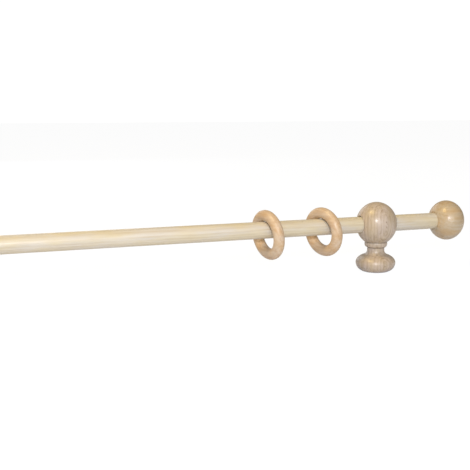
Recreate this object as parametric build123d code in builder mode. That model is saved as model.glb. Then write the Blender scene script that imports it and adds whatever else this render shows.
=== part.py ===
from build123d import *
import os
from math import acos, atan2, cos, degrees, radians, sin, sqrt

# Wooden curtain rod set: a round pole lies in two turned brackets, with a ball finial pushed on each
# end and wooden rings hanging on it between the brackets. A slotted set screw in the back of each
# bracket clamps the pole, and a brass insert in each foot takes the bolt that fixes the bracket.
# X runs along the pole, Z is up and +Y points to the back. The origin is on the surface under the
# feet, midway along the pole. Every size is in millimetres.

# Pole
pole_diameter = 20.0
pole_length = 1000.0
pole_end_chamfer = 1.0
pole_height = 59.0  # the pole's axis above the feet

# Brackets, each turned in one piece about its own upright axis
bracket_inset = 96.0  # from the pole's end to the bracket's axis
ball_radius = 25.0
ball_half_height = 26.8
bore_clearance = 0.7  # radial, between the pole and the bracket's bore
bore_edge_round = 0.4
pole_sag = 0.4  # the pole lies this far below the middle of the bore
ball_lip_radius = 14.2  # where the ball ends, in the groove above the bead
groove_radius = 13.0
bead_radius = 13.9
bead_rise = 2.6  # from the bead's widest circle up to the groove
bead_drop = 4.5  # and down to the neck
neck_radius = 10.5
shoulder_radius = 14.5  # where the hollow under the neck runs into the foot's rounded top
foot_crown_radius = 4.2  # middle of the ellipse that the foot's top follows
foot_crown_height = 22.8  # and the height that the ellipse would reach there
foot_radius = 24.3
foot_widest_height = 11.5
foot_base_radius = 12.0

# Brass insert, flush in the foot's underside
insert_radius = 4.5
insert_length = 13.0
insert_flange_radius = 6.0
insert_flange_thickness = 1.2
insert_thread_radius = 2.5  # the wall of an M6 tapped hole
insert_mouth_chamfer = 0.4
insert_hole_extra = 2.0  # the hole in the wood is this much deeper

# Set screw, in the back of the ball
screw_radius = 2.5
screw_tip_gap = 0.1  # from the screw's tip to the pole
screw_recess = 2.9  # from the screw's slotted end out to the ball's surface
screw_tip_chamfer = 0.7
screw_running_gap = 0.05  # radial, in its hole
screw_slot_width = 0.9
screw_slot_depth = 1.6

# Finials
finial_radius = 25.0
finial_half_length = 21.0
finial_mouth_flat = 1.35  # width of the flat around the bore
finial_bore_clearance = 0.05  # radial, a push fit on the pole
finial_bore_extra = 0.5  # the bore is this much deeper than the pole goes
pole_insertion = 14.0  # length of pole inside the finial

# Rings
ring_middle_radius = 23.1
ring_radial_half = 6.7
ring_axial_half = 6.4
ring_hang_gap = 0.3  # the least gap left between a hanging ring and the top of the pole
ring_spacing = 72.0  # from the bracket to the outer ring, and on to the inner one
ring_poses = {"outer": (17.5, 6.1), "inner": (10.9, 7.2)}  # turn and lean, in degrees

# Places that follow from the sizes above
pole_radius = pole_diameter / 2
pole_end = pole_length / 2
bracket_x = pole_end - bracket_inset
ball_height = pole_height + pole_sag
finial_mouth_x = pole_end - pole_insertion


def half_chord(reach, radius, half_length):
    """Distance from an ellipse's centre, along its axis, to where it is `reach` from that axis."""
    return half_length * sqrt(1 - (reach / radius) ** 2)


def quarter(centre, side_x, end_y, start):
    """Quarter ellipse about `centre`, reaching out to `side_x` and up or down to `end_y`."""
    x_radius = abs(side_x - centre[0])
    y_radius = abs(end_y - centre[1])
    return EllipticalCenterArc(centre, x_radius, y_radius, start)


def make_pole():
    """Round pole along X, chamfered at both ends."""
    with BuildPart() as pole:
        with BuildSketch(Plane.YZ.offset(-pole_end)):
            with Locations((0, pole_height)):
                Circle(pole_radius)
        extrude(amount=pole_length)
        chamfer(pole.edges().filter_by(GeomType.CIRCLE), pole_end_chamfer)
    return pole


def make_bracket(x):
    """Turned bracket at `x`: a ball with a cross bore, then a bead, a neck and a bun foot."""
    lip_angle = degrees(acos(ball_lip_radius / ball_radius))
    lip_height = ball_height - half_chord(ball_lip_radius, ball_radius, ball_half_height)
    bead_height = lip_height - bead_rise
    neck_top = bead_height - bead_drop
    # The foot's top and the neck are both tangent to the round hollow between them.
    foot_reach = foot_radius - foot_crown_radius
    foot_rise = foot_crown_height - foot_widest_height
    shoulder_angle = acos((shoulder_radius - foot_crown_radius) / foot_reach)
    slope = atan2(sin(shoulder_angle) / foot_rise, cos(shoulder_angle) / foot_reach)
    hollow_radius = (shoulder_radius - neck_radius) / (1 - cos(slope))
    shoulder_height = foot_widest_height + foot_rise * sin(shoulder_angle)
    hollow_top = shoulder_height + hollow_radius * sin(slope)
    with BuildPart() as bracket:
        # Half outline, from the top of the ball down to the base, turned about the upright axis.
        with BuildSketch(Plane.XZ.shift_origin((x, 0, 0))):
            with BuildLine():
                ball = EllipticalCenterArc(
                    (0, ball_height), ball_radius, ball_half_height, 90, arc_size=-90 - lip_angle
                )
                Line(ball @ 1, (groove_radius, lip_height))
                quarter((groove_radius, bead_height), bead_radius, lip_height, 0)
                quarter((neck_radius, bead_height), bead_radius, neck_top, -90)
                Line((neck_radius, neck_top), (neck_radius, hollow_top))
                CenterArc(
                    (neck_radius + hollow_radius, hollow_top), hollow_radius, 180, degrees(slope)
                )
                EllipticalCenterArc(
                    (foot_crown_radius, foot_widest_height),
                    foot_reach,
                    foot_rise,
                    degrees(shoulder_angle),
                    arc_size=-degrees(shoulder_angle),
                )
                quarter((foot_base_radius, foot_widest_height), foot_radius, 0, -90)
                Polyline((foot_base_radius, 0), (0, 0), ball @ 0)
            make_face()
        revolve(axis=Axis((x, 0, 0), (0, 0, 1)))
        # Cross bore for the pole.
        with BuildSketch(Plane.YZ.offset(x)):
            with Locations((0, ball_height)):
                Circle(pole_radius + bore_clearance)
        extrude(amount=ball_radius, both=True, mode=Mode.SUBTRACT)
        fillet(bracket.edges(Select.LAST), bore_edge_round)
        # Hole for the set screw, from the bore out through the back of the ball.
        with BuildSketch(back_plane(x, 0)):
            Circle(screw_radius + screw_running_gap)
        extrude(amount=ball_radius, mode=Mode.SUBTRACT)
        # Stepped hole for the insert, in the underside of the foot.
        with BuildSketch(Plane.XY.shift_origin((x, 0, 0))):
            Circle(insert_radius)
        extrude(amount=insert_length + insert_hole_extra, mode=Mode.SUBTRACT)
        with BuildSketch(Plane.XY.shift_origin((x, 0, 0))):
            Circle(insert_flange_radius)
        extrude(amount=insert_flange_thickness, mode=Mode.SUBTRACT)
    return bracket


def make_insert(x):
    """Flanged brass insert with a tapped hole, flush with the foot of the bracket at `x`."""
    with BuildPart() as insert:
        with BuildSketch(Plane.XY.shift_origin((x, 0, 0))):
            Circle(insert_flange_radius)
        extrude(amount=insert_flange_thickness)
        with BuildSketch(Plane.XY.shift_origin((x, 0, 0))):
            Circle(insert_radius)
        extrude(amount=insert_length)
        with BuildSketch(Plane.XY.shift_origin((x, 0, 0))):
            Circle(insert_thread_radius)
        extrude(amount=insert_length, mode=Mode.SUBTRACT)
        mouth = insert.edges().filter_by(GeomType.CIRCLE).group_by(Axis.Z)[0].sort_by(SortBy.RADIUS)[0]
        chamfer(mouth, insert_mouth_chamfer)
    return insert


def back_plane(x, y):
    """Plane facing +Y, centred on the pole's axis at `x`, for what goes into the back of the ball."""
    return Plane(origin=(x, y, pole_height), x_dir=(1, 0, 0), z_dir=(0, 1, 0))


def make_set_screw(x):
    """Slotted headless screw in the back of the ball, with its tip just off the pole."""
    tip = pole_radius + screw_tip_gap
    slotted_end = ball_radius - screw_recess
    with BuildPart() as screw:
        with BuildSketch(back_plane(x, tip)):
            Circle(screw_radius)
        extrude(amount=slotted_end - tip)
        chamfer(screw.faces().sort_by(Axis.Y)[0].edges(), screw_tip_chamfer)
        with BuildSketch(back_plane(x, slotted_end)):
            Rectangle(4 * screw_radius, screw_slot_width)
        extrude(amount=-screw_slot_depth, mode=Mode.SUBTRACT)
    return screw


def make_finial(side):
    """Ball finial with a blind bore, pushed on the pole's end on that side."""
    bore_radius = pole_radius + finial_bore_clearance
    mouth = half_chord(bore_radius + finial_mouth_flat, finial_radius, finial_half_length)
    mouth_angle = degrees(acos(-mouth / finial_half_length))
    bore_end = pole_insertion + finial_bore_extra - mouth
    centre = (side * (finial_mouth_x + mouth), 0, pole_height)
    with BuildPart() as finial:
        # Half outline, with x outwards along the pole's axis, turned about that axis.
        with BuildSketch(Plane(origin=centre, x_dir=(side, 0, 0), z_dir=(0, -side, 0))):
            with BuildLine():
                ball = EllipticalCenterArc(
                    (0, 0), finial_half_length, finial_radius, 0, arc_size=mouth_angle
                )
                Polyline(
                    ball @ 1,
                    (-mouth, bore_radius),
                    (bore_end, bore_radius),
                    (bore_end, 0),
                    ball @ 0,
                )
            make_face()
        revolve(axis=Axis(centre, (side, 0, 0)))
    return finial


def make_ring(side, place, turn, lean):
    """Turned ring hanging on the pole, `place` spacings in from the bracket, a little askew."""
    turn = radians(turn)
    lean = radians(lean)
    axis = (side * cos(turn) * cos(lean), sin(turn) * cos(lean), sin(lean))
    level = Vector(-sin(turn), side * cos(turn), 0)
    section_reach = sqrt((ring_radial_half * cos(lean)) ** 2 + (ring_axial_half * sin(lean)) ** 2)
    hang = ring_middle_radius * cos(lean) - section_reach - pole_radius - ring_hang_gap
    centre = (side * (bracket_x - place * ring_spacing), 0, pole_height - hang)
    with BuildPart() as ring:
        with BuildSketch(Plane(origin=centre, x_dir=level, z_dir=level.cross(Vector(axis)))):
            with Locations((ring_middle_radius, 0)):
                Ellipse(ring_radial_half, ring_axial_half)
        revolve(axis=Axis(centre, axis))
    return ring


def save(piece, name):
    """Label a finished piece and write it as its own STEP file."""
    piece.part.label = name
    export_step(piece.part, f"parts/{name}.step")


os.makedirs("parts", exist_ok=True)
save(make_pole(), "pole")
for side, side_name in ((-1, "left"), (1, "right")):
    save(make_bracket(side * bracket_x), f"bracket_{side_name}")
    save(make_insert(side * bracket_x), f"fixing_insert_{side_name}")
    save(make_set_screw(side * bracket_x), f"set_screw_{side_name}")
    save(make_finial(side), f"finial_{side_name}")
    for place, (ring_name, (turn, lean)) in enumerate(ring_poses.items(), start=1):
        save(make_ring(side, place, turn, lean), f"ring_{side_name}_{ring_name}")
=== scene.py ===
"""Wooden curtain rod set: turned wood, brass inserts and steel set screws around the fixed frame.

Everything is in metres. X runs along the pole, Z is up and +Y points to the back, where the set
screws are. The set stands on the feet of its two brackets.
"""

from __future__ import annotations

import logging
from dataclasses import dataclass, field
from enum import Enum
from math import acos, atan2, cos, degrees, pi, radians, sin, sqrt, tau
from typing import Any, Callable, Iterable, Sequence

import bmesh
import bpy
from mathutils import Euler, Matrix, Vector, noise

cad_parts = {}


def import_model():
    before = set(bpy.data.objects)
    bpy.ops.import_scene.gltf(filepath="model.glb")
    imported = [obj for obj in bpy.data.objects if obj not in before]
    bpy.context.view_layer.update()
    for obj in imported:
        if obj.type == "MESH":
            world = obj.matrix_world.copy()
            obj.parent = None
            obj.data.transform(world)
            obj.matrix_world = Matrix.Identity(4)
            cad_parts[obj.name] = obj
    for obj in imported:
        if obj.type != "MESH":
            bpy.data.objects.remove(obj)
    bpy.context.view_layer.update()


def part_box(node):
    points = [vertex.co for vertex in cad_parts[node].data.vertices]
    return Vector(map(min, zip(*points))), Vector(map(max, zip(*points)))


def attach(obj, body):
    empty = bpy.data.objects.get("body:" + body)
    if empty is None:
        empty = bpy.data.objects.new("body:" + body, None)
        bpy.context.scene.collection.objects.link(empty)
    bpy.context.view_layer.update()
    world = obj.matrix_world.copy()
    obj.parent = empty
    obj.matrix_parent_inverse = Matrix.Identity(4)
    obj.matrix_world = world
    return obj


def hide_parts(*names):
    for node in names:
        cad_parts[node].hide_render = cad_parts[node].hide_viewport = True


log = logging.getLogger("curtain_rod")

MM = 0.001
Colour = tuple[float, float, float]
Point = tuple[float, float]


class Side(Enum):
    """The two mirror-image halves of the set."""

    LEFT = -1
    RIGHT = 1

    @property
    def word(self) -> str:
        """Name of the side as the frame's nodes spell it."""
        return self.name.lower()


class RingPlace(Enum):
    """The two rings of each half, counted from the bracket."""

    OUTER = 1
    INNER = 2

    @property
    def word(self) -> str:
        """Name of the place as the frame's nodes spell it."""
        return self.name.lower()


class Grain(Enum):
    """Which way the fibres of a piece run."""

    ALONG_POLE = Euler((0.0, 0.0, 0.0))
    UPRIGHT = Euler((0.0, -pi / 2, 0.0))


# ---- Shader arithmetic ----


@dataclass(frozen=True)
class Figure:
    """A noise pattern.

    Attributes:
        along: How many features fit in a metre along the fibres.
        across: How many fit in a metre across them.
        fade: The two noise levels between which its mask goes from 0 to 1.
        shift: Keeps patterns with the same seed apart.
        detail: Number of finer layers.
        roughness: How strong the finer layers are.
    """

    along: float
    across: float
    fade: Point = (0.0, 1.0)
    shift: float = 0.0
    detail: float = 2.0
    roughness: float = 0.5


SWAY = Figure(9.0, 22.0, detail=1.5)
RIPPLE = Figure(60.0, 160.0, shift=3.1, detail=1.0)
PATCHES = Figure(32.0, 240.0, (0.3, 0.72), shift=5.3, roughness=0.6)
STREAKS = Figure(18.0, 430.0, shift=7.7, detail=4.0, roughness=0.66)
FIBRES = Figure(90.0, 2600.0, shift=11.3, roughness=0.6)
DRIFT = Figure(22.0, 95.0, (0.34, 0.66), shift=17.9, detail=3.0, roughness=0.6)
PORES = Figure(260.0, 3400.0, (0.62, 0.72), shift=23.0, detail=1.0)
FLECKS = Figure(360.0, 360.0, (0.44, 0.58), shift=29.0, detail=1.0)
TOOL_LINES = Figure(9000.0, 9000.0, roughness=0.7)
BLOOM = Figure(420.0, 420.0, (0.42, 0.66), shift=5.0, detail=3.0, roughness=0.6)
SPOTS = Figure(1500.0, 1500.0, (0.58, 0.7), shift=9.0)
PAPER = Figure(3.0, 3.0)


class Value:
    """A number socket that takes part in Python arithmetic by adding Math nodes."""

    def __init__(self, shader: "Shader", socket: bpy.types.NodeSocket) -> None:
        """Wrap a socket.

        Args:
            shader: The shader that owns the socket's node.
            socket: The output socket to wrap.
        """
        self.shader = shader
        self.socket = socket

    def __add__(self, other: "Value | float") -> "Value":
        """Sum of two values."""
        return self.shader.maths("ADD", self, other)

    __radd__ = __add__

    def __sub__(self, other: "Value | float") -> "Value":
        """Difference of two values."""
        return self.shader.maths("SUBTRACT", self, other)

    def __rsub__(self, other: float) -> "Value":
        """Difference with the plain number on the left."""
        return self.shader.maths("SUBTRACT", other, self)

    def __mul__(self, other: "Value | float") -> "Value":
        """Product of two values."""
        return self.shader.maths("MULTIPLY", self, other)

    __rmul__ = __mul__

    def __truediv__(self, other: "Value | float") -> "Value":
        """Quotient of two values."""
        return self.shader.maths("DIVIDE", self, other)

    def __pow__(self, other: "Value | float") -> "Value":
        """Power of two values."""
        return self.shader.maths("POWER", self, other)


class NodeTree:
    """A node tree that is built in code."""

    prefix = "ShaderNode"

    def __init__(self, tree: bpy.types.NodeTree) -> None:
        """Take a tree to add nodes to."""
        self.tree = tree

    def node(
        self,
        kind: str,
        settings: dict[str, Any] | None = None,
        inputs: dict[str | int, Any] | None = None,
    ) -> bpy.types.Node:
        """Add any node.

        Args:
            kind: The node's type, in full or without the prefix that is usual in the tree.
            settings: Properties of the node, set before its sockets.
            inputs: Values or links of its input sockets, by name or number.

        Returns:
            The new node.
        """
        made = self.tree.nodes.new(kind if "Node" in kind else self.prefix + kind)
        for key, value in (settings or {}).items():
            setattr(made, key, value)
        for key, value in (inputs or {}).items():
            self.feed(made.inputs[key], value)
        return made

    def feed(self, socket: bpy.types.NodeSocket, value: Any) -> None:
        """Link or set one input socket.

        Args:
            socket: The input socket.
            value: A Value, an output socket, or a plain value.
        """
        if isinstance(value, Value):
            self.tree.links.new(value.socket, socket)
        elif isinstance(value, bpy.types.NodeSocket):
            self.tree.links.new(value, socket)
        else:
            socket.default_value = value


class Shader(NodeTree):
    """One material's node tree, with short ways to add the nodes that the finishes use."""

    def __init__(self, name: str) -> None:
        """Make an empty material.

        Args:
            name: The material's name.
        """
        self.material = bpy.data.materials.new(name)
        self.material.use_nodes = True
        super().__init__(self.material.node_tree)
        self.tree.nodes.clear()

    def maths(self, operation: str, *values: Value | float) -> Value:
        """Add a Math node and wrap its result."""
        made = self.node("Math", {"operation": operation}, dict(enumerate(values)))
        return Value(self, made.outputs[0])

    def stretch(self, vector: bpy.types.NodeSocket, scale: Sequence[float]) -> bpy.types.NodeSocket:
        """Multiply a vector by one number for each axis."""
        made = self.node(
            "VectorMath", {"operation": "MULTIPLY"}, {0: vector, 1: tuple(scale)}
        )
        return made.outputs[0]

    def noise(self, vector: bpy.types.NodeSocket, figure: Figure, seed: float) -> Value:
        """Soft noise from 0 to 1.

        Args:
            vector: Where to read the noise, with the fibres along its first axis.
            figure: How fine and how rough the noise is.
            seed: Picks a part of the noise, together with the figure's own shift.

        Returns:
            The noise.
        """
        scale = (figure.along, figure.across, figure.across)
        made = self.node(
            "TexNoise",
            {"noise_dimensions": "4D"},
            {
                "Vector": self.stretch(vector, scale),
                "W": seed + figure.shift,
                "Scale": 1.0,
                "Detail": figure.detail,
                "Roughness": figure.roughness,
            },
        )
        return Value(self, made.outputs[0])

    def mask(self, vector: bpy.types.NodeSocket, figure: Figure, seed: float) -> Value:
        """Noise that is 0 up to the figure's first level and 1 from its second."""
        return self.slope(self.noise(vector, figure, seed), *figure.fade)

    def chance(self, value: Value) -> Value:
        """A fixed random number from 0 to 1 for each value."""
        made = self.node("TexWhiteNoise", {"noise_dimensions": "1D"}, {"W": value})
        return Value(self, made.outputs["Value"])

    def slope(self, value: Value, low: float, high: float) -> Value:
        """Smooth step from 0 at `low` to 1 at `high`."""
        made = self.node(
            "MapRange",
            {"interpolation_type": "SMOOTHSTEP"},
            {"Value": value, "From Min": low, "From Max": high},
        )
        return Value(self, made.outputs[0])

    def blend(self, factor: Value | float, first: Any, second: Any) -> bpy.types.NodeSocket:
        """Mix two colours.

        Args:
            factor: 0 for the first colour, 1 for the second.
            first: A colour or a colour socket.
            second: A colour or a colour socket.

        Returns:
            The mixed colour's socket.
        """
        opaque = [(*c, 1.0) if isinstance(c, tuple) else c for c in (first, second)]
        made = self.node(
            "Mix",
            {"data_type": "RGBA"},
            {"Factor": factor, 6: opaque[0], 7: opaque[1]},
        )
        return made.outputs[2]

    def coordinates(self, centre: Vector, turn: Euler) -> tuple[bpy.types.NodeSocket, ...]:
        """Object coordinates, plain and moved to a piece.

        Args:
            centre: The point that becomes the origin.
            turn: How the piece's coordinates are turned from the frame's.

        Returns:
            The plain coordinates and the piece's own.
        """
        plain = self.node("TexCoord").outputs["Object"]
        own = self.node(
            "Mapping",
            {"vector_type": "TEXTURE"},
            {"Vector": plain, "Location": centre, "Rotation": turn},
        )
        return plain, own.outputs[0]

    def split(self, vector: bpy.types.NodeSocket) -> list[Value]:
        """The three numbers of a vector."""
        parts = self.node("SeparateXYZ", None, {0: vector})
        return [Value(self, part) for part in parts.outputs]

    def surface(self, inputs: dict[str, Any]) -> bpy.types.Material:
        """Finish the material with a Principled shader.

        Args:
            inputs: Values or links of the Principled shader's sockets.

        Returns:
            The finished material.
        """
        shader = self.node("BsdfPrincipled", None, inputs)
        self.node("OutputMaterial", None, {"Surface": shader.outputs[0]})
        return self.material

    def relief(self, height: Value, depth: float, strength: float) -> bpy.types.NodeSocket:
        """Bump whose full height is `depth` metres."""
        made = self.node(
            "Bump", None, {"Strength": strength, "Distance": depth, "Height": height}
        )
        return made.outputs[0]


# ---- Finishes ----


@dataclass(frozen=True)
class Timber:
    """A species of wood and how it was sanded or varnished.

    Attributes:
        name: Start of the materials' names.
        pale: Tone of the early wood.
        warm: Tone that the early wood drifts to.
        late: Tone of the late wood and of the dark streaks.
        pore: Tone of the pores.
        ring_width: Distance between growth rings, in metres.
        ring_contrast: How much the late wood covers, from 0 to 1.
        wander: How far a ring strays from its circle, in metres.
        streak_contrast: How much the streaks cover.
        pore_contrast: How much the pores cover.
        roughness: Roughness of the smoothest spots.
        varnish: Weight of the varnish.
        varnish_roughness: Its roughness.
        late_rise: Where in a ring the late wood comes in.
        late_fall: Where in a ring it stops.
        dark_streaks: Levels of the streaks between which they darken.
        light_streaks: Levels between which they are bleached.
        bleach: How much lighter than the pale tone a bleached streak is.
        bleach_share: Strength of the bleaching, as a share of the streaks' contrast.
        core_radii: Radii between which the dark pith comes in.
        core_contrast: How much the pith covers.
        soil_shade: Darkness of the painted crease shade, as a share of the pores' tone.
        soil_contrast: How much the painted crease shade covers.
        relief_depth: Full height of the bump, in metres.
        relief_strength: Strength of the bump.
    """

    name: str
    pale: Colour
    warm: Colour
    late: Colour
    pore: Colour
    ring_width: float
    ring_contrast: float
    wander: float
    streak_contrast: float
    pore_contrast: float
    roughness: float
    varnish: float
    varnish_roughness: float = 0.22
    late_rise: Point = (0.35, 0.93)
    late_fall: Point = (0.95, 1.0)
    dark_streaks: Point = (0.46, 0.74)
    light_streaks: Point = (0.52, 0.28)
    bleach: float = 1.16
    bleach_share: float = 0.55
    core_radii: Point = (1.7 * MM, 0.6 * MM)
    core_contrast: float = 0.7
    soil_shade: float = 0.42
    soil_contrast: float = 0.62
    relief_depth: float = 0.12 * MM
    relief_strength: float = 0.55

    def dress(
        self,
        piece: str,
        centre: Vector,
        turn: Euler,
        pith: Point,
        seed: float,
        crease_shade_mask: Callable[[Shader, bpy.types.NodeSocket], Value] | None = None,
    ) -> bpy.types.Material:
        """Make the wood of one piece.

        The fibres run along the first axis of the piece's own coordinates. The growth rings are
        cylinders round the tree's middle, the pith, so a turned face shows stripes where it cuts
        across them and ovals where it lies along them.

        Args:
            piece: The piece's name.
            centre: The middle of the piece.
            turn: How the piece's coordinates are turned from the frame's.
            pith: Where the tree's middle passes the piece, across the fibres, in metres.
            seed: Picks this piece's part of the noises.
            crease_shade_mask: Optional mask of painted shade in creases, which also roughens the
                surface there.

        Returns:
            The finished material.
        """
        sh = Shader(f"{self.name}_{piece}")
        place, local = sh.coordinates(centre, turn)
        _, side_of, depth_of = sh.split(local)
        across, through = side_of - pith[0], depth_of - pith[1]

        # Growth rings, with pale early wood that darkens to a sharp edge of late wood
        sway = sh.noise(local, SWAY, seed) - 0.5
        ripple = sh.noise(local, RIPPLE, seed) - 0.5
        reach = sh.maths("SQRT", across * across + through * through)
        count = (reach + sway * self.wander + ripple * (self.wander * 0.12)) / self.ring_width
        step = sh.maths("FRACT", count)
        year = sh.maths("FLOOR", count)
        good_year = sh.chance(year + seed)
        late = sh.slope(step, *self.late_rise) * (1.0 - sh.slope(step, *self.late_fall))
        patches = sh.mask(local, PATCHES, seed)
        late = late * (0.35 + 0.65 * good_year) * (0.3 + 1.3 * patches)
        flecks = sh.mask(local, FLECKS, seed)
        core = sh.slope(reach, *self.core_radii) * flecks

        # Fibres, pores and slow drifts of tone
        streak = sh.noise(local, STREAKS, seed)
        fibre = sh.noise(local, FIBRES, seed)
        drift = sh.mask(local, DRIFT, seed)
        pores = sh.mask(local, PORES, seed)
        pores = pores * (1.0 - sh.slope(step, 0.25, 0.6) * 0.7)

        tone = sh.blend(drift, self.pale, self.warm)
        tone = sh.blend(late * self.ring_contrast, tone, self.late)
        dark = sh.slope(streak, *self.dark_streaks) * self.streak_contrast
        tone = sh.blend(dark, tone, self.late)
        light = sh.slope(streak, *self.light_streaks) * (self.streak_contrast * self.bleach_share)
        tone = sh.blend(light, tone, tuple(min(1.0, c * self.bleach) for c in self.pale))
        tone = sh.blend(pores * self.pore_contrast, tone, self.pore)
        tone = sh.blend(core * self.core_contrast, tone, self.pore)
        # Painted shade in creases: the mask darkens the tone and also raises the roughness
        crease_shade: Value | float = 0.0
        if crease_shade_mask is not None:
            crease_shade = crease_shade_mask(sh, place) * (0.55 + 0.6 * fibre)
            crease_shade_tone = tuple(c * self.soil_shade for c in self.pore)
            tone = sh.blend(crease_shade * self.soil_contrast, tone, crease_shade_tone)

        height = fibre * 0.35 + streak * 0.4 + late * 0.45 - pores * 0.8
        rough = self.roughness + 0.12 * fibre + 0.16 * pores - 0.06 * late + 0.2 * crease_shade
        return sh.surface(
            {
                "Base Color": tone,
                "Roughness": rough,
                "IOR": 1.5,
                "Coat Weight": self.varnish,
                "Coat Roughness": self.varnish_roughness,
                "Normal": sh.relief(height, self.relief_depth, self.relief_strength),
            }
        )


@dataclass(frozen=True)
class TurnedMetal:
    """A metal turned on a lathe, with fine tool lines, tarnish and dark spots.

    Attributes:
        name: Start of the materials' names.
        bright: Tone of the clean metal.
        tarnish: Tone of the tarnish.
        roughness: Roughness of the clean metal.
        tarnish_contrast: How much the tarnish covers, from 0 to 1.
        spot_shade: Darkness of the spots, as a share of the tarnish's tone.
        spot_contrast: How much the spots cover.
        relief_depth: Full height of the bump, in metres.
        relief_strength: Strength of the bump.
    """

    name: str
    bright: Colour
    tarnish: Colour
    roughness: float
    tarnish_contrast: float = 0.55
    spot_shade: float = 0.45
    spot_contrast: float = 0.3
    relief_depth: float = 0.04 * MM
    relief_strength: float = 0.5

    def dress(self, piece: str, centre: Vector, turn: Euler, seed: float) -> bpy.types.Material:
        """Make the metal of one piece.

        Args:
            piece: The piece's name.
            centre: A point on the turning axis.
            turn: How the piece's coordinates are turned, with its third axis along the lathe.
            seed: Picks this piece's part of the noises.

        Returns:
            The finished material.
        """
        sh = Shader(f"{self.name}_{piece}")
        _, local = sh.coordinates(centre, turn)
        across, through, along = sh.split(local)
        reach = sh.maths("SQRT", across * across + through * through)
        lines = sh.node("CombineXYZ", None, {0: reach, 2: along}).outputs[0]
        tool = sh.noise(lines, TOOL_LINES, seed)
        dull = sh.mask(local, BLOOM, seed)
        spots = sh.mask(local, SPOTS, seed)
        tone = sh.blend(dull * self.tarnish_contrast, self.bright, self.tarnish)
        spotted = tuple(c * self.spot_shade for c in self.tarnish)
        tone = sh.blend(spots * self.spot_contrast, tone, spotted)
        rough = self.roughness + 0.18 * dull + 0.14 * tool + 0.2 * spots
        height = tool - 0.6 * spots
        return sh.surface(
            {
                "Base Color": tone,
                "Metallic": 1.0,
                "Roughness": rough,
                "Normal": sh.relief(height, self.relief_depth, self.relief_strength),
            }
        )


POLE_WOOD = Timber(
    name="pole_wood",
    pale=(0.56, 0.515, 0.45),
    warm=(0.575, 0.50, 0.35),
    late=(0.46, 0.375, 0.26),
    pore=(0.40, 0.31, 0.20),
    ring_width=0.0031,
    ring_contrast=0.5,
    wander=0.005,
    streak_contrast=0.42,
    pore_contrast=0.2,
    roughness=0.42,
    varnish=0.15,
)
BRACKET_WOOD = Timber(
    name="bracket_wood",
    pale=(0.48, 0.395, 0.33),
    warm=(0.455, 0.365, 0.255),
    late=(0.30, 0.22, 0.15),
    pore=(0.22, 0.15, 0.10),
    ring_width=0.0038,
    ring_contrast=0.8,
    wander=0.006,
    streak_contrast=0.7,
    pore_contrast=0.6,
    roughness=0.42,
    varnish=0.42,
)
FINIAL_WOOD = Timber(
    name="finial_wood",
    pale=(0.465, 0.385, 0.28),
    warm=(0.46, 0.325, 0.18),
    late=(0.38, 0.26, 0.13),
    pore=(0.30, 0.20, 0.10),
    ring_width=0.0052,
    ring_contrast=0.5,
    wander=0.006,
    streak_contrast=0.55,
    pore_contrast=0.22,
    roughness=0.40,
    varnish=0.5,
)
RING_WOOD = Timber(
    name="ring_wood",
    pale=(0.58, 0.455, 0.33),
    warm=(0.52, 0.355, 0.20),
    late=(0.42, 0.25, 0.13),
    pore=(0.34, 0.21, 0.11),
    ring_width=0.0048,
    ring_contrast=0.35,
    wander=0.010,
    streak_contrast=0.5,
    pore_contrast=0.3,
    roughness=0.44,
    varnish=0.2,
)
BRASS = TurnedMetal("insert_brass", (0.80, 0.60, 0.28), (0.45, 0.30, 0.13), 0.26)
STEEL = TurnedMetal("screw_steel", (0.62, 0.62, 0.60), (0.34, 0.34, 0.33), 0.30)


# ---- Mesh tools ----


SHARP_ANGLE = 38.0
WELD = 0.001 * MM
CLOSE = 0.0001 * MM


def arc(centre: Point, reach: Point, start: float, end: float, steps: int) -> list[Point]:
    """Points of an elliptical arc.

    Args:
        centre: The ellipse's centre.
        reach: Its half width and half height.
        start: First angle, in degrees.
        end: Last angle, in degrees.
        steps: Number of spans.

    Returns:
        The points, both ends included.
    """
    angles = [radians(start + (end - start) * i / steps) for i in range(steps + 1)]
    return [(centre[0] + reach[0] * cos(a), centre[1] + reach[1] * sin(a)) for a in angles]


def ease_corners(outline: Sequence[Point], size: float, least_turn: float = 25.0) -> list[Point]:
    """Round each sharp corner of an open outline.

    Args:
        outline: The outline's points.
        size: How far from the corner the rounding starts.
        least_turn: Turns under this many degrees stay as they are.

    Returns:
        The outline with each sharp corner replaced by four points.
    """
    most = 0.45  # of a side's length, so that two roundings on it never meet
    eased = [outline[0]]
    for before, corner, after in zip(outline, outline[1:], outline[2:]):
        into = Vector(corner) - Vector(before)
        out = Vector(after) - Vector(corner)
        if into.length < CLOSE or out.length < CLOSE:
            continue
        if degrees(into.angle(out)) < least_turn:
            eased.append(corner)
            continue
        start = Vector(corner) - into.normalized() * min(size, into.length * most)
        end = Vector(corner) + out.normalized() * min(size, out.length * most)
        for t in (0.0, 1 / 3, 2 / 3, 1.0):
            bent = start * (1 - t) ** 2 + Vector(corner) * 2 * t * (1 - t) + end * t**2
            eased.append(tuple(bent))
    eased.append(outline[-1])
    return eased


def lathe(outline: Sequence[Point], segments: int) -> bmesh.types.BMesh:
    """Turn an outline about the Z axis into a closed skin.

    Args:
        outline: (radius, height) points, with both ends on the axis.
        segments: Number of faces round the axis.

    Returns:
        The turned skin, still open for editing.
    """
    skin = bmesh.new()
    rows: list[list[bmesh.types.BMVert]] = []
    for radius, height in outline:
        if radius < CLOSE:
            rows.append([skin.verts.new((0.0, 0.0, height))])
            continue
        angles = [tau * i / segments for i in range(segments)]
        rows.append([skin.verts.new((radius * cos(a), radius * sin(a), height)) for a in angles])
    for low, high in zip(rows, rows[1:]):
        for i in range(segments):
            corners = [low[i % len(low)], low[(i + 1) % len(low)]]
            corners += [high[(i + 1) % len(high)], high[i % len(high)]]
            skin.faces.new(list(dict.fromkeys(corners)))
    bmesh.ops.recalc_face_normals(skin, faces=skin.faces[:])
    return skin


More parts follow.
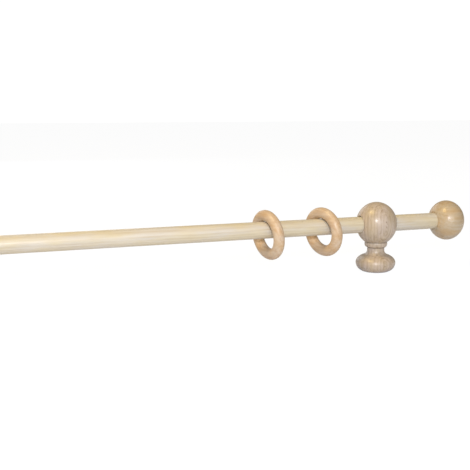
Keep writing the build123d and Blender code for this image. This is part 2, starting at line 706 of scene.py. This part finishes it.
def hand_worked(skin: bmesh.types.BMesh, depth: float, size: float, seed: float) -> None:
    """Move the skin in and out a little, as sanding by hand does.

    Args:
        skin: The skin to change.
        depth: Most that a point moves, in metres.
        size: How far apart the dips are, in metres.
        seed: Picks this piece's part of the noise.
    """
    skin.normal_update()
    shift = Vector((seed, -seed, 2 * seed))
    for vert in skin.verts:
        vert.co += vert.normal * (depth * noise.noise(vert.co / size + shift))


def smooth_between_corners(skin: bmesh.types.BMesh, sharp: float) -> None:
    """Shade a skin smooth, apart from edges that bend by more than `sharp` degrees."""
    for face in skin.faces:
        face.smooth = True
    for edge in skin.edges:
        edge.smooth = edge.calc_face_angle(0.0) < radians(sharp)


def finished(
    skin: bmesh.types.BMesh, name: str, sharp: float = SHARP_ANGLE
) -> bpy.types.Object:
    """Turn a skin into a smooth-shaded object with its real corners kept sharp.

    Args:
        skin: The skin, which is used up.
        name: The object's name.
        sharp: Edges that bend by more than this many degrees stay sharp.

    Returns:
        The object, linked to the scene, at the origin.
    """
    smooth_between_corners(skin, sharp)
    mesh = bpy.data.meshes.new(name)
    skin.to_mesh(mesh)
    skin.free()
    piece = bpy.data.objects.new(name, mesh)
    bpy.context.scene.collection.objects.link(piece)
    return piece


def carve(piece: bpy.types.Object, cutters: Iterable[bpy.types.Object]) -> None:
    """Cut other shapes out of a piece, one after the other, and delete them.

    Args:
        piece: The piece to cut.
        cutters: Closed objects that take their volume away.
    """
    for cutter in cutters:
        cut = piece.modifiers.new("cut", "BOOLEAN")
        cut.operation = "DIFFERENCE"
        cut.solver = "EXACT"
        cut.object = cutter
        bake_modifiers(piece)
        bpy.data.objects.remove(cutter)


def bake_modifiers(piece: bpy.types.Object) -> None:
    """Replace a piece's mesh with its modifiers' result, and remove them.

    Args:
        piece: The piece whose modifiers are used up.
    """
    depsgraph = bpy.context.evaluated_depsgraph_get()
    made = bpy.data.meshes.new_from_object(piece.evaluated_get(depsgraph))
    piece.modifiers.clear()
    old = piece.data
    piece.data = made
    made.name = old.name
    if old.users == 0:
        bpy.data.meshes.remove(old)


def sharpen(piece: bpy.types.Object) -> None:
    """Weld a carved piece and mark its real corners again.

    Args:
        piece: The piece, straight after it was carved.
    """
    skin = bmesh.new()
    skin.from_mesh(piece.data)
    bmesh.ops.remove_doubles(skin, verts=skin.verts[:], dist=WELD)
    smooth_between_corners(skin, SHARP_ANGLE)
    skin.to_mesh(piece.data)
    skin.free()


def place(piece: bpy.types.Object, matrix: Matrix) -> None:
    """Move a piece's mesh, so that its object stays at the origin."""
    piece.data.transform(matrix)
    piece.data.update()


def dress(piece: bpy.types.Object, material: bpy.types.Material) -> None:
    """Give the whole piece one material."""
    piece.data.materials.clear()
    piece.data.materials.append(material)


def stand_for(piece: bpy.types.Object, body: str, node: str) -> None:
    """Let a piece ride on a body in place of a CAD node, and report it.

    Args:
        piece: The finished piece.
        body: The body that carries it.
        node: The CAD node that it hides.
    """
    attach(piece, body)
    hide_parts(node)
    log.info("%s rides on %s: %d faces", piece.name, body, len(piece.data.polygons))


# ---- Geometry Nodes ----


class ShapeTree(NodeTree):
    """A Geometry Nodes tree, with named inputs."""

    prefix = "GeometryNode"

    def __init__(self, name: str) -> None:
        """Make an empty tree with one geometry output.

        Args:
            name: The tree's name.
        """
        super().__init__(bpy.data.node_groups.new(name, "GeometryNodeTree"))
        self.tree.interface.new_socket(
            "Geometry", in_out="OUTPUT", socket_type="NodeSocketGeometry"
        )
        self.source = self.tree.nodes.new("NodeGroupInput")
        self.target = self.tree.nodes.new("NodeGroupOutput")
        self.values: dict[str, Any] = {}

    def size(self, name: str, kind: str, value: Any) -> bpy.types.NodeSocket:
        """Add a named input.

        Args:
            name: The input's name.
            kind: Its socket type without the prefix, such as "Float".
            value: What the modifier gives it.

        Returns:
            The input's socket inside the tree.
        """
        made = self.tree.interface.new_socket(
            name, in_out="INPUT", socket_type=f"NodeSocket{kind}"
        )
        self.values[made.identifier] = value
        return self.source.outputs[name]

    def finish(
        self, shape: bpy.types.NodeSocket, name: str, material: bpy.types.Material
    ) -> bpy.types.Object:
        """Realize and dress the shape, and turn it into a plain mesh object.

        Args:
            shape: The geometry to finish.
            name: The object's name.
            material: What the shape is made of.

        Returns:
            The object, at the origin, with no modifier.
        """
        smooth = self.node("SetShadeSmooth", None, {"Geometry": shape})
        real = self.node("RealizeInstances", None, {"Geometry": smooth.outputs[0]})
        dressed = self.node(
            "SetMaterial", None, {"Geometry": real.outputs[0], "Material": material}
        )
        self.tree.links.new(dressed.outputs[0], self.target.inputs[0])
        piece = bpy.data.objects.new(name, bpy.data.meshes.new(name))
        bpy.context.scene.collection.objects.link(piece)
        maker = piece.modifiers.new("maker", "NODES")
        maker.node_group = self.tree
        for identifier, value in self.values.items():
            maker[identifier] = value
        bake_modifiers(piece)
        return piece


# ---- Sub-assemblies ----


@dataclass
class Pole:
    """The round pole, with both ends chamfered inside the finials."""

    chamfer: float = 1.0 * MM
    row_length: float = 5.0 * MM
    edge_ease: float = 0.3 * MM
    sanding_depth: float = 0.03 * MM
    sanding_size: float = 30.0 * MM
    sanding_seed: float = 4.0
    pith: Point = (12.0 * MM, -35.0 * MM)
    grain_seed: float = 2.0
    sharp_angle: float = 60.0
    segments: int = 96
    body: str = "pole"

    def build(self) -> None:
        """Build, dress and place the pole."""
        low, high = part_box("pole")
        radius = (high.z - low.z) / 2
        length = high.x - low.x
        rows = round((length - 2 * self.chamfer) / self.row_length)
        straight = [
            (radius, self.chamfer + (length - 2 * self.chamfer) * i / rows) for i in range(rows + 1)
        ]
        end = radius - self.chamfer
        outline = [(0.0, 0.0), (end, 0.0), *straight, (end, length), (0.0, length)]
        skin = lathe(ease_corners(outline, self.edge_ease), self.segments)
        hand_worked(skin, self.sanding_depth, self.sanding_size, self.sanding_seed)
        piece = finished(skin, "pole_dowel", self.sharp_angle)
        axis = (low + high) / 2
        lay_down = Matrix.Rotation(pi / 2, 4, "Y")
        place(piece, Matrix.Translation((low.x, axis.y, axis.z)) @ lay_down)
        fibres = Grain.ALONG_POLE.value
        dress(piece, POLE_WOOD.dress("pole", axis, fibres, self.pith, self.grain_seed))
        stand_for(piece, self.body, "pole")


@dataclass
class Bracket:
    """A bracket turned in one piece: ball, bead, neck and bun foot, with three holes."""

    side: Side
    ball_half_height: float = 26.8 * MM
    bore_clearance: float = 0.7 * MM
    bore_mouth: float = 0.5 * MM
    lip_radius: float = 14.2 * MM
    groove_radius: float = 13.0 * MM
    bead_radius: float = 13.9 * MM
    bead_rise: float = 2.6 * MM
    bead_drop: float = 4.5 * MM
    neck_radius: float = 10.5 * MM
    shoulder_radius: float = 14.5 * MM
    foot_crown_radius: float = 4.2 * MM
    foot_crown_height: float = 22.8 * MM
    foot_radius: float = 24.3 * MM
    foot_widest_height: float = 11.5 * MM
    foot_base_radius: float = 12.0 * MM
    screw_hole_radius: float = 2.55 * MM
    overcut: float = 2.0 * MM
    edge_ease: float = 0.35 * MM
    # Painted shade in the groove under the ball and at the neck's top, below the bead
    grime_drop: float = 0.3 * MM
    groove_grime: float = 1.1 * MM
    neck_grime: float = 1.3 * MM
    pith_depth: float = 24.9 * MM
    pith_offset: float = 0.35 * MM
    grain_seed: float = 6.0
    side_seed: float = 10.0
    segments: int = 144
    cutter_segments: int = 96
    body: str = "wall_brackets"
    centre: Vector = field(init=False)
    ball_radius: float = field(init=False)
    ball_height: float = field(init=False)
    lip_height: float = field(init=False)

    def __post_init__(self) -> None:
        """Take the overall sizes from the frame."""
        low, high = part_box(self.node)
        self.centre = Vector(((low.x + high.x) / 2, 0.0, 0.0))
        self.ball_radius = -low.y
        self.ball_height = high.z - self.ball_half_height
        drop = self.ball_half_height * sqrt(1 - (self.lip_radius / self.ball_radius) ** 2)
        self.lip_height = self.ball_height - drop

    @property
    def node(self) -> str:
        """The CAD node's name."""
        return f"bracket_{self.side.word}"

    def outline(self) -> list[Point]:
        """Half outline from the top of the ball to the middle of the base.

        Returns:
            The (radius, height) points.
        """
        bead = self.lip_height - self.bead_rise
        lip_angle = degrees(acos(self.lip_radius / self.ball_radius))
        middle = (0.0, self.ball_height)
        ball = arc(middle, (self.ball_radius, self.ball_half_height), 90, -lip_angle, 72)
        ball[0] = (0.0, self.ball_height + self.ball_half_height)
        bead_top = arc(
            (self.groove_radius, bead),
            (self.bead_radius - self.groove_radius, self.bead_rise),
            90,
            0,
            8,
        )
        bead_low = arc(
            (self.neck_radius, bead),
            (self.bead_radius - self.neck_radius, self.bead_drop),
            0,
            -90,
            12,
        )

        # A hollow under the neck runs smoothly into the ellipse of the foot's top
        reach = self.foot_radius - self.foot_crown_radius
        rise = self.foot_crown_height - self.foot_widest_height
        shoulder = acos((self.shoulder_radius - self.foot_crown_radius) / reach)
        slope = atan2(sin(shoulder) / rise, cos(shoulder) / reach)
        hollow = (self.shoulder_radius - self.neck_radius) / (1 - cos(slope))
        hollow_top = self.foot_widest_height + rise * sin(shoulder) + hollow * sin(slope)
        flare_middle = (self.neck_radius + hollow, hollow_top)
        flare = arc(flare_middle, (hollow, hollow), 180, 180 + degrees(slope), 14)
        edge_top = arc(
            (self.foot_crown_radius, self.foot_widest_height),
            (reach, rise),
            degrees(shoulder),
            0,
            20,
        )
        edge_low = arc(
            (self.foot_base_radius, self.foot_widest_height),
            (self.foot_radius - self.foot_base_radius, self.foot_widest_height),
            0,
            -90,
            16,
        )
        return [*ball, *bead_top, *bead_low[1:], *flare, *edge_top[1:], *edge_low[1:], (0.0, 0.0)]

    def cutters(self) -> list[bpy.types.Object]:
        """Shapes of the cross bore, the set screw's hole and the insert's stepped hole.

        Returns:
            The three shapes, for a bracket whose middle is at the origin.
        """
        low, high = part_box("pole")
        bore = (high.z - low.z) / 2 + self.bore_clearance
        edge = self.ball_radius * sqrt(1 - (bore / self.ball_radius) ** 2)
        mouth = arc((bore + self.bore_mouth, edge), (self.bore_mouth,) * 2, 180, 115, 5)
        half = [(bore, 0.0), *mouth, (bore + 2 * self.bore_mouth, 2 * self.ball_radius)]
        mirrored = [(r, -z) for r, z in reversed(half[1:])]
        whole = [(0.0, mirrored[0][1]), *mirrored, *half, (0.0, half[-1][1])]
        across = finished(lathe(whole, self.cutter_segments), "bore_cutter")
        lay_down = Matrix.Rotation(pi / 2, 4, "Y")
        place(across, Matrix.Translation((0, 0, self.ball_height)) @ lay_down)

        screw_axis = (low.z + high.z) / 2
        depth = 2 * self.ball_radius
        hole = [(0.0, 0.0), (self.screw_hole_radius, 0.0), (self.screw_hole_radius, depth)]
        screw = finished(lathe([*hole, (0.0, depth)], self.cutter_segments // 2), "screw_cutter")
        place(screw, Matrix.Translation((0, 0, screw_axis)) @ Matrix.Rotation(-pi / 2, 4, "X"))

        insert_low, insert_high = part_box(f"fixing_insert_{self.side.word}")
        flange = (insert_high.x - insert_low.x) / 2
        insert = Insert.body_radius
        step = Insert.flange_thickness
        top = insert_high.z + self.overcut
        well = [(0.0, -MM), (flange, -MM), (flange, step), (insert, step), (insert, top), (0.0, top)]
        return [across, screw, finished(lathe(well, Insert.hole_segments), "insert_cutter")]

    def grime(self, sh: Shader, where: bpy.types.NodeSocket) -> Value:
        """Mask of painted shade in the groove under the ball and at the neck's top.

        Args:
            sh: The shader that gets the mask.
            where: The plain object coordinates.

        Returns:
            The mask, 1 where the painted shade is darkest.
        """
        height = sh.split(where)[2]
        groove = self.lip_height - self.grime_drop
        neck_top = self.lip_height - self.bead_rise - self.bead_drop
        mask: Value | float = 0.0
        for level, reach in ((groove, self.groove_grime), (neck_top, self.neck_grime)):
            off = sh.maths("ABSOLUTE", height - level)
            mask = mask + sh.slope(off, reach, 0.0)
        return sh.maths("MINIMUM", mask, 1.0)

    def build(self) -> None:
        """Build, dress and place the bracket."""
        skin = lathe(ease_corners(self.outline(), self.edge_ease), self.segments)
        piece = finished(skin, f"{self.node}_turning")
        carve(piece, self.cutters())
        sharpen(piece)
        place(piece, Matrix.Translation(self.centre))
        pith = (-self.pith_depth, self.side.value * self.pith_offset)
        wood = BRACKET_WOOD.dress(
            self.side.word,
            self.centre + Vector((0, 0, self.ball_height)),
            Grain.UPRIGHT.value,
            pith,
            self.grain_seed + self.side_seed * self.side.value,
            # painted shade in the groove and at the neck's top
            self.grime,
        )
        dress(piece, wood)
        stand_for(piece, self.body, self.node)


@dataclass
class Finial:
    """A ball finial with a blind bore for the pole's end."""

    side: Side
    pole_insertion: float = 14.0 * MM
    bore_extra: float = 0.5 * MM
    bore_clearance: float = 0.05 * MM
    mouth_flat: float = 1.35 * MM
    half_length: float = 21.0 * MM
    edge_ease: float = 0.3 * MM
    pith: Point = (4.0 * MM, -50.0 * MM)
    grain_seed: float = 31.0
    segments: int = 144

    @property
    def node(self) -> str:
        """The CAD node's name, which is its body's name too."""
        return f"finial_{self.side.word}"

    def build(self) -> None:
        """Build, dress and place the finial."""
        low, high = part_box(self.node)
        pole_low, pole_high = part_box("pole")
        radius = (high.z - low.z) / 2
        bore = (pole_high.z - pole_low.z) / 2 + self.bore_clearance
        mouth_radius = bore + self.mouth_flat
        mouth = self.half_length * sqrt(1 - (mouth_radius / radius) ** 2)
        mouth_angle = degrees(acos(-mouth / self.half_length))
        bore_end = self.pole_insertion + self.bore_extra - mouth
        ball = [(r, z) for z, r in arc((0, 0), (self.half_length, radius), 0, mouth_angle, 80)]
        ball[0] = (0.0, self.half_length)
        hole = [(bore, -mouth), (bore, bore_end), (0.0, bore_end)]
        skin = lathe(ease_corners([*ball, *hole], self.edge_ease), self.segments)
        piece = finished(skin, f"{self.node}_ball")
        tip = high.x if self.side is Side.RIGHT else low.x
        centre = Vector((tip - self.side.value * self.half_length, 0.0, (low.z + high.z) / 2))
        outwards = Matrix.Rotation(self.side.value * pi / 2, 4, "Y")
        place(piece, Matrix.Translation(centre) @ outwards)
        seed = self.grain_seed + self.side.value
        fibres = Grain.ALONG_POLE.value
        dress(piece, FINIAL_WOOD.dress(self.side.word, centre, fibres, self.pith, seed))
        stand_for(piece, self.node, self.node)


@dataclass
class Ring:
    """A turned curtain ring that hangs on the pole, a little askew."""

    side: Side
    ring_place: RingPlace
    middle_radius: float = 23.1 * MM
    radial_half: float = 6.7 * MM
    axial_half: float = 6.4 * MM
    sanding_depth: float = 0.12 * MM
    dips: float = 90.0
    pith: Point = (20.0 * MM, 55.0 * MM)
    grain_seed: float = 50.0
    side_seed: float = 7.0
    place_seed: float = 3.0
    loop_steps: int = 160
    section_steps: int = 48

    @property
    def node(self) -> str:
        """The CAD node's name, which is its body's name too."""
        return f"ring_{self.side.word}_{self.ring_place.word}"

    @property
    def turn(self) -> float:
        """Degrees that the ring is turned about the upright axis."""
        return 17.5 if self.ring_place is RingPlace.OUTER else 10.9

    @property
    def lean(self) -> float:
        """Degrees that the ring's top leans to the middle of the pole."""
        return 6.1 if self.ring_place is RingPlace.OUTER else 7.2

    def attitude(self) -> Matrix:
        """Rotation that takes the Z axis to the ring's own axis.

        Returns:
            The rotation as a 3 by 3 matrix.
        """
        turn, lean = radians(self.turn), radians(self.lean)
        axis = Vector((self.side.value * cos(turn) * cos(lean), sin(turn) * cos(lean), sin(lean)))
        level = Vector((-sin(turn), self.side.value * cos(turn), 0.0))
        return Matrix((level, axis.cross(level), axis)).transposed()

    def build(self) -> None:
        """Build, dress and place the ring."""
        low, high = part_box(self.node)
        centre = (low + high) / 2
        rotation = self.attitude().to_euler()
        seed = self.grain_seed + self.side_seed * self.side.value
        seed += self.place_seed * self.ring_place.value
        wood = RING_WOOD.dress(self.node, centre, rotation, self.pith, seed)

        tree = ShapeTree(f"{self.node}_maker")
        middle = tree.size("Middle Radius", "Float", self.middle_radius)
        section = tree.size("Section", "Vector", (self.radial_half, self.axial_half, 1.0))
        depth = tree.size("Sanding Depth", "Float", self.sanding_depth)
        where = tree.size("Centre", "Vector", tuple(centre))
        tilt = tree.size("Attitude", "Rotation", rotation)
        circle = "CurvePrimitiveCircle"
        loop = tree.node(circle, None, {"Resolution": self.loop_steps, "Radius": middle})
        unit = tree.node(circle, None, {"Resolution": self.section_steps, "Radius": 1.0})
        oval = tree.node("Transform", None, {"Geometry": unit.outputs[0], "Scale": section})
        body = tree.node(
            "CurveToMesh", None, {"Curve": loop.outputs[0], "Profile Curve": oval.outputs[0]}
        )
        dips = tree.node(
            "ShaderNodeTexNoise",
            {"noise_dimensions": "4D"},
            {"Scale": self.dips, "W": seed, "Detail": 1.0},
        )
        push = tree.node(
            "ShaderNodeMath", {"operation": "MULTIPLY_ADD"}, {0: dips.outputs[0], 1: 1.0, 2: -0.5}
        )
        amount = tree.node(
            "ShaderNodeMath", {"operation": "MULTIPLY"}, {0: push.outputs[0], 1: depth}
        )
        normal = tree.node("InputNormal")
        offset = tree.node(
            "ShaderNodeVectorMath",
            {"operation": "SCALE"},
            {0: normal.outputs[0], "Scale": amount.outputs[0]},
        )
        sanded = tree.node(
            "SetPosition", None, {"Geometry": body.outputs[0], "Offset": offset.outputs[0]}
        )
        hung = tree.node(
            "Transform",
            None,
            {"Geometry": sanded.outputs[0], "Translation": where, "Rotation": tilt},
        )
        piece = tree.finish(hung.outputs[0], f"{self.node}_turning", wood)
        stand_for(piece, self.node, self.node)


@dataclass
class Thread:
    """A helical ridge, for the outside of a screw or the inside of an insert."""

    radius: float
    pitch: float
    length: float
    depth: float
    steps_per_turn: int = 32
    tooth_sides: int = 4

    def shape(self, name: str, material: bpy.types.Material) -> bpy.types.Object:
        """Build the ridge about the Z axis, from Z = 0 up.

        Args:
            name: The object's name.
            material: What the ridge is made of.

        Returns:
            The ridge as a plain mesh object.
        """
        tree = ShapeTree(f"{name}_maker")
        radius = tree.size("Radius", "Float", self.radius)
        turns = tree.size("Turns", "Float", self.length / self.pitch)
        length = tree.size("Length", "Float", self.length)
        depth = tree.size("Depth", "Float", self.depth)
        helix = tree.node(
            "CurveSpiral",
            None,
            {
                "Resolution": self.steps_per_turn,
                "Rotations": turns,
                "Start Radius": radius,
                "End Radius": radius,
                "Height": length,
            },
        )
        tooth = tree.node(
            "CurvePrimitiveCircle", None, {"Resolution": self.tooth_sides, "Radius": depth}
        )
        ridge = tree.node(
            "CurveToMesh",
            None,
            {"Curve": helix.outputs[0], "Profile Curve": tooth.outputs[0], "Fill Caps": True},
        )
        return tree.finish(ridge.outputs[0], name, material)


def join(pieces: Sequence[bpy.types.Object], name: str) -> bpy.types.Object:
    """Join several objects' meshes into one object.

    Args:
        pieces: The objects, which are used up.
        name: The joined object's name.

    Returns:
        The joined object.
    """
    skin = bmesh.new()
    for part in pieces:
        skin.from_mesh(part.data)
        bpy.data.objects.remove(part)
    return finished(skin, name)


@dataclass
class SetScrew:
    """The slotted set screw in the back of a bracket's ball."""

    side: Side
    core_radius: float = 2.15 * MM
    pitch: float = 0.8 * MM
    tip_chamfer: float = 0.7 * MM
    slot_width: float = 0.9 * MM
    slot_depth: float = 1.6 * MM
    plain_below_slot: float = 0.6 * MM
    head_slope: float = 0.3 * MM
    rim_chamfer: float = 0.2 * MM
    tarnish_seed: float = 70.0
    segments: int = 64
    sharp_angle: float = 30.0

    @property
    def node(self) -> str:
        """The CAD node's name, which is its body's name too."""
        return f"set_screw_{self.side.word}"

    def build(self) -> None:
        """Build, dress and place the screw."""
        low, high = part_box(self.node)
        radius = (high.x - low.x) / 2
        length = high.y - low.y
        centre = Vector(((low.x + high.x) / 2, low.y, (low.z + high.z) / 2))
        to_back = Matrix.Rotation(-pi / 2, 4, "X")
        seed = self.tarnish_seed + self.side.value
        steel = STEEL.dress(self.side.word, centre, to_back.to_euler(), seed)
        head = length - self.slot_depth - self.plain_below_slot
        outline = [
            (0.0, 0.0),
            (self.core_radius - self.tip_chamfer, 0.0),
            (self.core_radius, self.tip_chamfer),
            (self.core_radius, head),
            (radius, head + self.head_slope),
            (radius, length - self.rim_chamfer),
            (radius - self.rim_chamfer, length),
            (0.0, length),
        ]
        core = finished(lathe(outline, self.segments), "screw_core", self.sharp_angle)
        slot = bmesh.new()
        bmesh.ops.create_cube(slot, size=1.0)
        size = (4 * radius, self.slot_width, 2 * self.slot_depth)
        bmesh.ops.scale(slot, vec=size, verts=slot.verts[:])
        bmesh.ops.translate(slot, vec=(0, 0, length), verts=slot.verts[:])
        carve(core, [finished(slot, "slot_cutter")])
        ridge_depth = radius - self.core_radius
        thread = Thread(self.core_radius, self.pitch, head - self.tip_chamfer, ridge_depth)
        ridge = thread.shape("screw_ridge", steel)
        place(ridge, Matrix.Translation((0, 0, self.tip_chamfer)))
        piece = join([core, ridge], f"{self.node}_thread")
        place(piece, Matrix.Translation(centre) @ to_back)
        dress(piece, steel)
        stand_for(piece, self.node, self.node)


@dataclass
class Insert:
    """The flanged brass insert in the underside of a foot."""

    side: Side
    body_radius: float = 4.5 * MM
    flange_thickness: float = 1.2 * MM
    thread_radius: float = 2.5 * MM
    pitch: float = 1.0 * MM
    mouth_chamfer: float = 0.4 * MM
    thread_depth: float = 0.22 * MM
    edge_ease: float = 0.12 * MM
    tarnish_seed: float = 80.0
    segments: int = 72
    hole_segments: int = 64
    sharp_angle: float = 30.0
    body: str = "wall_brackets"

    @property
    def node(self) -> str:
        """The CAD node's name."""
        return f"fixing_insert_{self.side.word}"

    def build(self) -> None:
        """Build, dress and place the insert."""
        low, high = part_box(self.node)
        flange = (high.x - low.x) / 2
        top = high.z
        bore = self.thread_radius
        centre = Vector(((low.x + high.x) / 2, 0.0, 0.0))
        brass = BRASS.dress(self.side.word, centre, Euler(), self.tarnish_seed + self.side.value)
        outline = [
            (bore + self.mouth_chamfer, 0.0),
            (flange, 0.0),
            (flange, self.flange_thickness),
            (self.body_radius, self.flange_thickness),
            (self.body_radius, top),
            (bore, top),
            (bore, self.mouth_chamfer),
            (bore + self.mouth_chamfer, 0.0),
        ]
        skin = lathe(ease_corners(outline, self.edge_ease), self.segments)
        bmesh.ops.remove_doubles(skin, verts=skin.verts[:], dist=CLOSE)
        bmesh.ops.recalc_face_normals(skin, faces=skin.faces[:])
        sleeve = finished(skin, "insert_sleeve", self.sharp_angle)
        ridge = Thread(bore, self.pitch, top - 2 * self.mouth_chamfer, self.thread_depth)
        helix = ridge.shape("insert_ridge", brass)
        place(helix, Matrix.Translation((0, 0, self.mouth_chamfer)))
        piece = join([sleeve, helix], f"{self.node}_sleeve")
        place(piece, Matrix.Translation(centre))
        dress(piece, brass)
        stand_for(piece, self.body, self.node)


# ---- Studio ----


@dataclass(frozen=True)
class Lamp:
    """A round soft light.

    Attributes:
        name: The light's name.
        place: Where it hangs, in metres.
        size: Its diameter, in metres.
        power: Its power, in watts.
        tint: Its colour.
    """

    name: str
    place: tuple[float, float, float]
    size: float
    power: float
    tint: Colour

    def hang(self, where: Vector, towards: Vector) -> None:
        """Hang the light.

        Args:
            where: Its place in the frame.
            towards: The point that it faces.
        """
        data = bpy.data.lights.new(self.name, "AREA")
        data.shape = "DISK"
        data.size = self.size
        data.energy = self.power
        data.color = self.tint
        light = bpy.data.objects.new(self.name, data)
        light.rotation_euler = (towards - where).to_track_quat("-Z", "Y").to_euler()
        light.location = where
        bpy.context.scene.collection.objects.link(light)


# The places of the lamps in front are metres to the camera's right, up and towards the camera,
# from the point that it looks at
LAMPS_IN_FRONT = (
    Lamp("camera_lamp", (0.03, 0.20, 0.98534), 0.16, 4.8, (0.93, 0.97, 1.05)),
    Lamp("front_panel", (0.45, 0.20, 2.2), 1.3, 17.0, (0.96, 0.98, 1.0)),
    Lamp("warm_overhead", (-0.996, 1.992, 0.9072), 0.8, 29.0, (1.0, 0.72, 0.27)),
)
BACK_PANEL = Lamp("back_panel", (0.0, 2.2, 0.9), 1.6, 9.0, (0.97, 0.98, 1.0))


@dataclass
class Studio:
    """The camera, the lights and a plain pale floor."""

    heading: float = -19.89
    elevation: float = 8.74
    roll: float = -0.15
    distance: float = 0.98534
    lens: float = 61.28
    aim_left: float = 0.17405
    aim_down: float = 0.01367
    back_panel_aim: tuple[float, float, float] = (0.0, 0.0, 0.05)
    sensor_width: float = 36.0
    nearest: float = 0.02
    furthest: float = 100.0
    sky_light: Colour = (0.31, 0.285, 0.24)
    backdrop: Colour = (1.05, 1.05, 1.05)
    floor_size: float = 30.0
    floor_tones: tuple[Colour, Colour] = ((0.77, 0.82, 0.98), (0.80, 0.85, 1.0))
    floor_glow: float = 1.05
    floor_glow_share: float = 0.12
    floor_glow_seen: float = 0.78

    def aim(self) -> tuple[Vector, Vector, Vector, Vector]:
        """Where the camera looks, and how it is turned.

        Returns:
            The target, and the camera's forward, right and up directions.
        """
        heading, rise, roll = radians(self.heading), radians(self.elevation), radians(self.roll)
        ahead = Vector((-sin(heading) * cos(rise), cos(heading) * cos(rise), -sin(rise)))
        level = Vector((cos(heading), sin(heading), 0.0))
        upright = level.cross(ahead)
        right = level * cos(roll) + upright * sin(roll)
        up = upright * cos(roll) - level * sin(roll)
        low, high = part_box("bracket_right")
        pole_low, pole_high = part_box("pole")
        ball = Vector(((low.x + high.x) / 2, 0.0, (pole_low.z + pole_high.z) / 2))
        return ball - right * self.aim_left - up * self.aim_down, ahead, right, up

    def camera(self) -> None:
        """Place the camera and make it the scene's."""
        target, ahead, right, up = self.aim()
        data = bpy.data.cameras.new("camera")
        data.lens = self.lens
        data.sensor_width = self.sensor_width
        data.clip_start = self.nearest
        data.clip_end = self.furthest
        camera = bpy.data.objects.new("camera", data)
        bpy.context.scene.collection.objects.link(camera)
        turned = Matrix((right, up, -ahead)).transposed().to_4x4()
        camera.matrix_world = Matrix.Translation(target - ahead * self.distance) @ turned
        bpy.context.scene.camera = camera

    def lights(self) -> None:
        """Hang the lamps, and set a white backdrop that lights the set only dimly."""
        target, ahead, right, up = self.aim()
        for lamp in LAMPS_IN_FRONT:
            aside, above, before = lamp.place
            lamp.hang(target + right * aside + up * above - ahead * before, target)
        BACK_PANEL.hang(Vector(BACK_PANEL.place), Vector(self.back_panel_aim))
        world = bpy.data.worlds.new("studio")
        world.use_nodes = True
        sky = NodeTree(world.node_tree)
        seen = sky.node("LightPath").outputs["Is Camera Ray"]
        tones = {6: (*self.sky_light, 1.0), 7: (*self.backdrop, 1.0)}
        tone = sky.node("Mix", {"data_type": "RGBA"}, {"Factor": seen, **tones})
        sky.feed(world.node_tree.nodes["Background"].inputs["Color"], tone.outputs[2])
        bpy.context.scene.world = world

    def floor(self) -> None:
        """Lay a plain pale floor under the feet."""
        skin = bmesh.new()
        bmesh.ops.create_grid(skin, x_segments=1, y_segments=1, size=self.floor_size / 2)
        ground = finished(skin, "floor")
        sh = Shader("floor_paper")
        where = sh.node("TexCoord").outputs["Object"]
        tone = sh.blend(sh.noise(where, PAPER, 1.0), *self.floor_tones)
        matte = sh.node("BsdfDiffuse", None, {"Color": tone, "Roughness": 0.5})
        glow = sh.node("Emission", None, {"Strength": self.floor_glow})
        seen = Value(sh, sh.node("LightPath").outputs["Is Camera Ray"])
        share = self.floor_glow_share + seen * self.floor_glow_seen
        mixed = sh.node(
            "MixShader", None, {0: share, 1: matte.outputs[0], 2: glow.outputs[0]}
        )
        sh.node("OutputMaterial", None, {"Surface": mixed.outputs[0]})
        dress(ground, sh.material)

    def build(self) -> None:
        """Set up the whole studio."""
        self.floor()
        self.lights()
        self.camera()
        scene = bpy.context.scene
        scene.view_settings.view_transform = "Standard"
        log.info("studio ready")


def write_sizes() -> None:
    """Update the view layer, so that every piece's place is current.
    """
    bpy.context.view_layer.update()


def main() -> None:
    """Load the frame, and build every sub-assembly in order."""
    logging.basicConfig(level=logging.INFO, format="%(name)s: %(message)s")
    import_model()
    Pole().build()
    for side in Side:
        Bracket(side).build()
        Insert(side).build()
        SetScrew(side).build()
        Finial(side).build()
        for ring_place in RingPlace:
            Ring(side, ring_place).build()
    Studio().build()
    write_sizes()


if __name__ == "__main__":
    main()
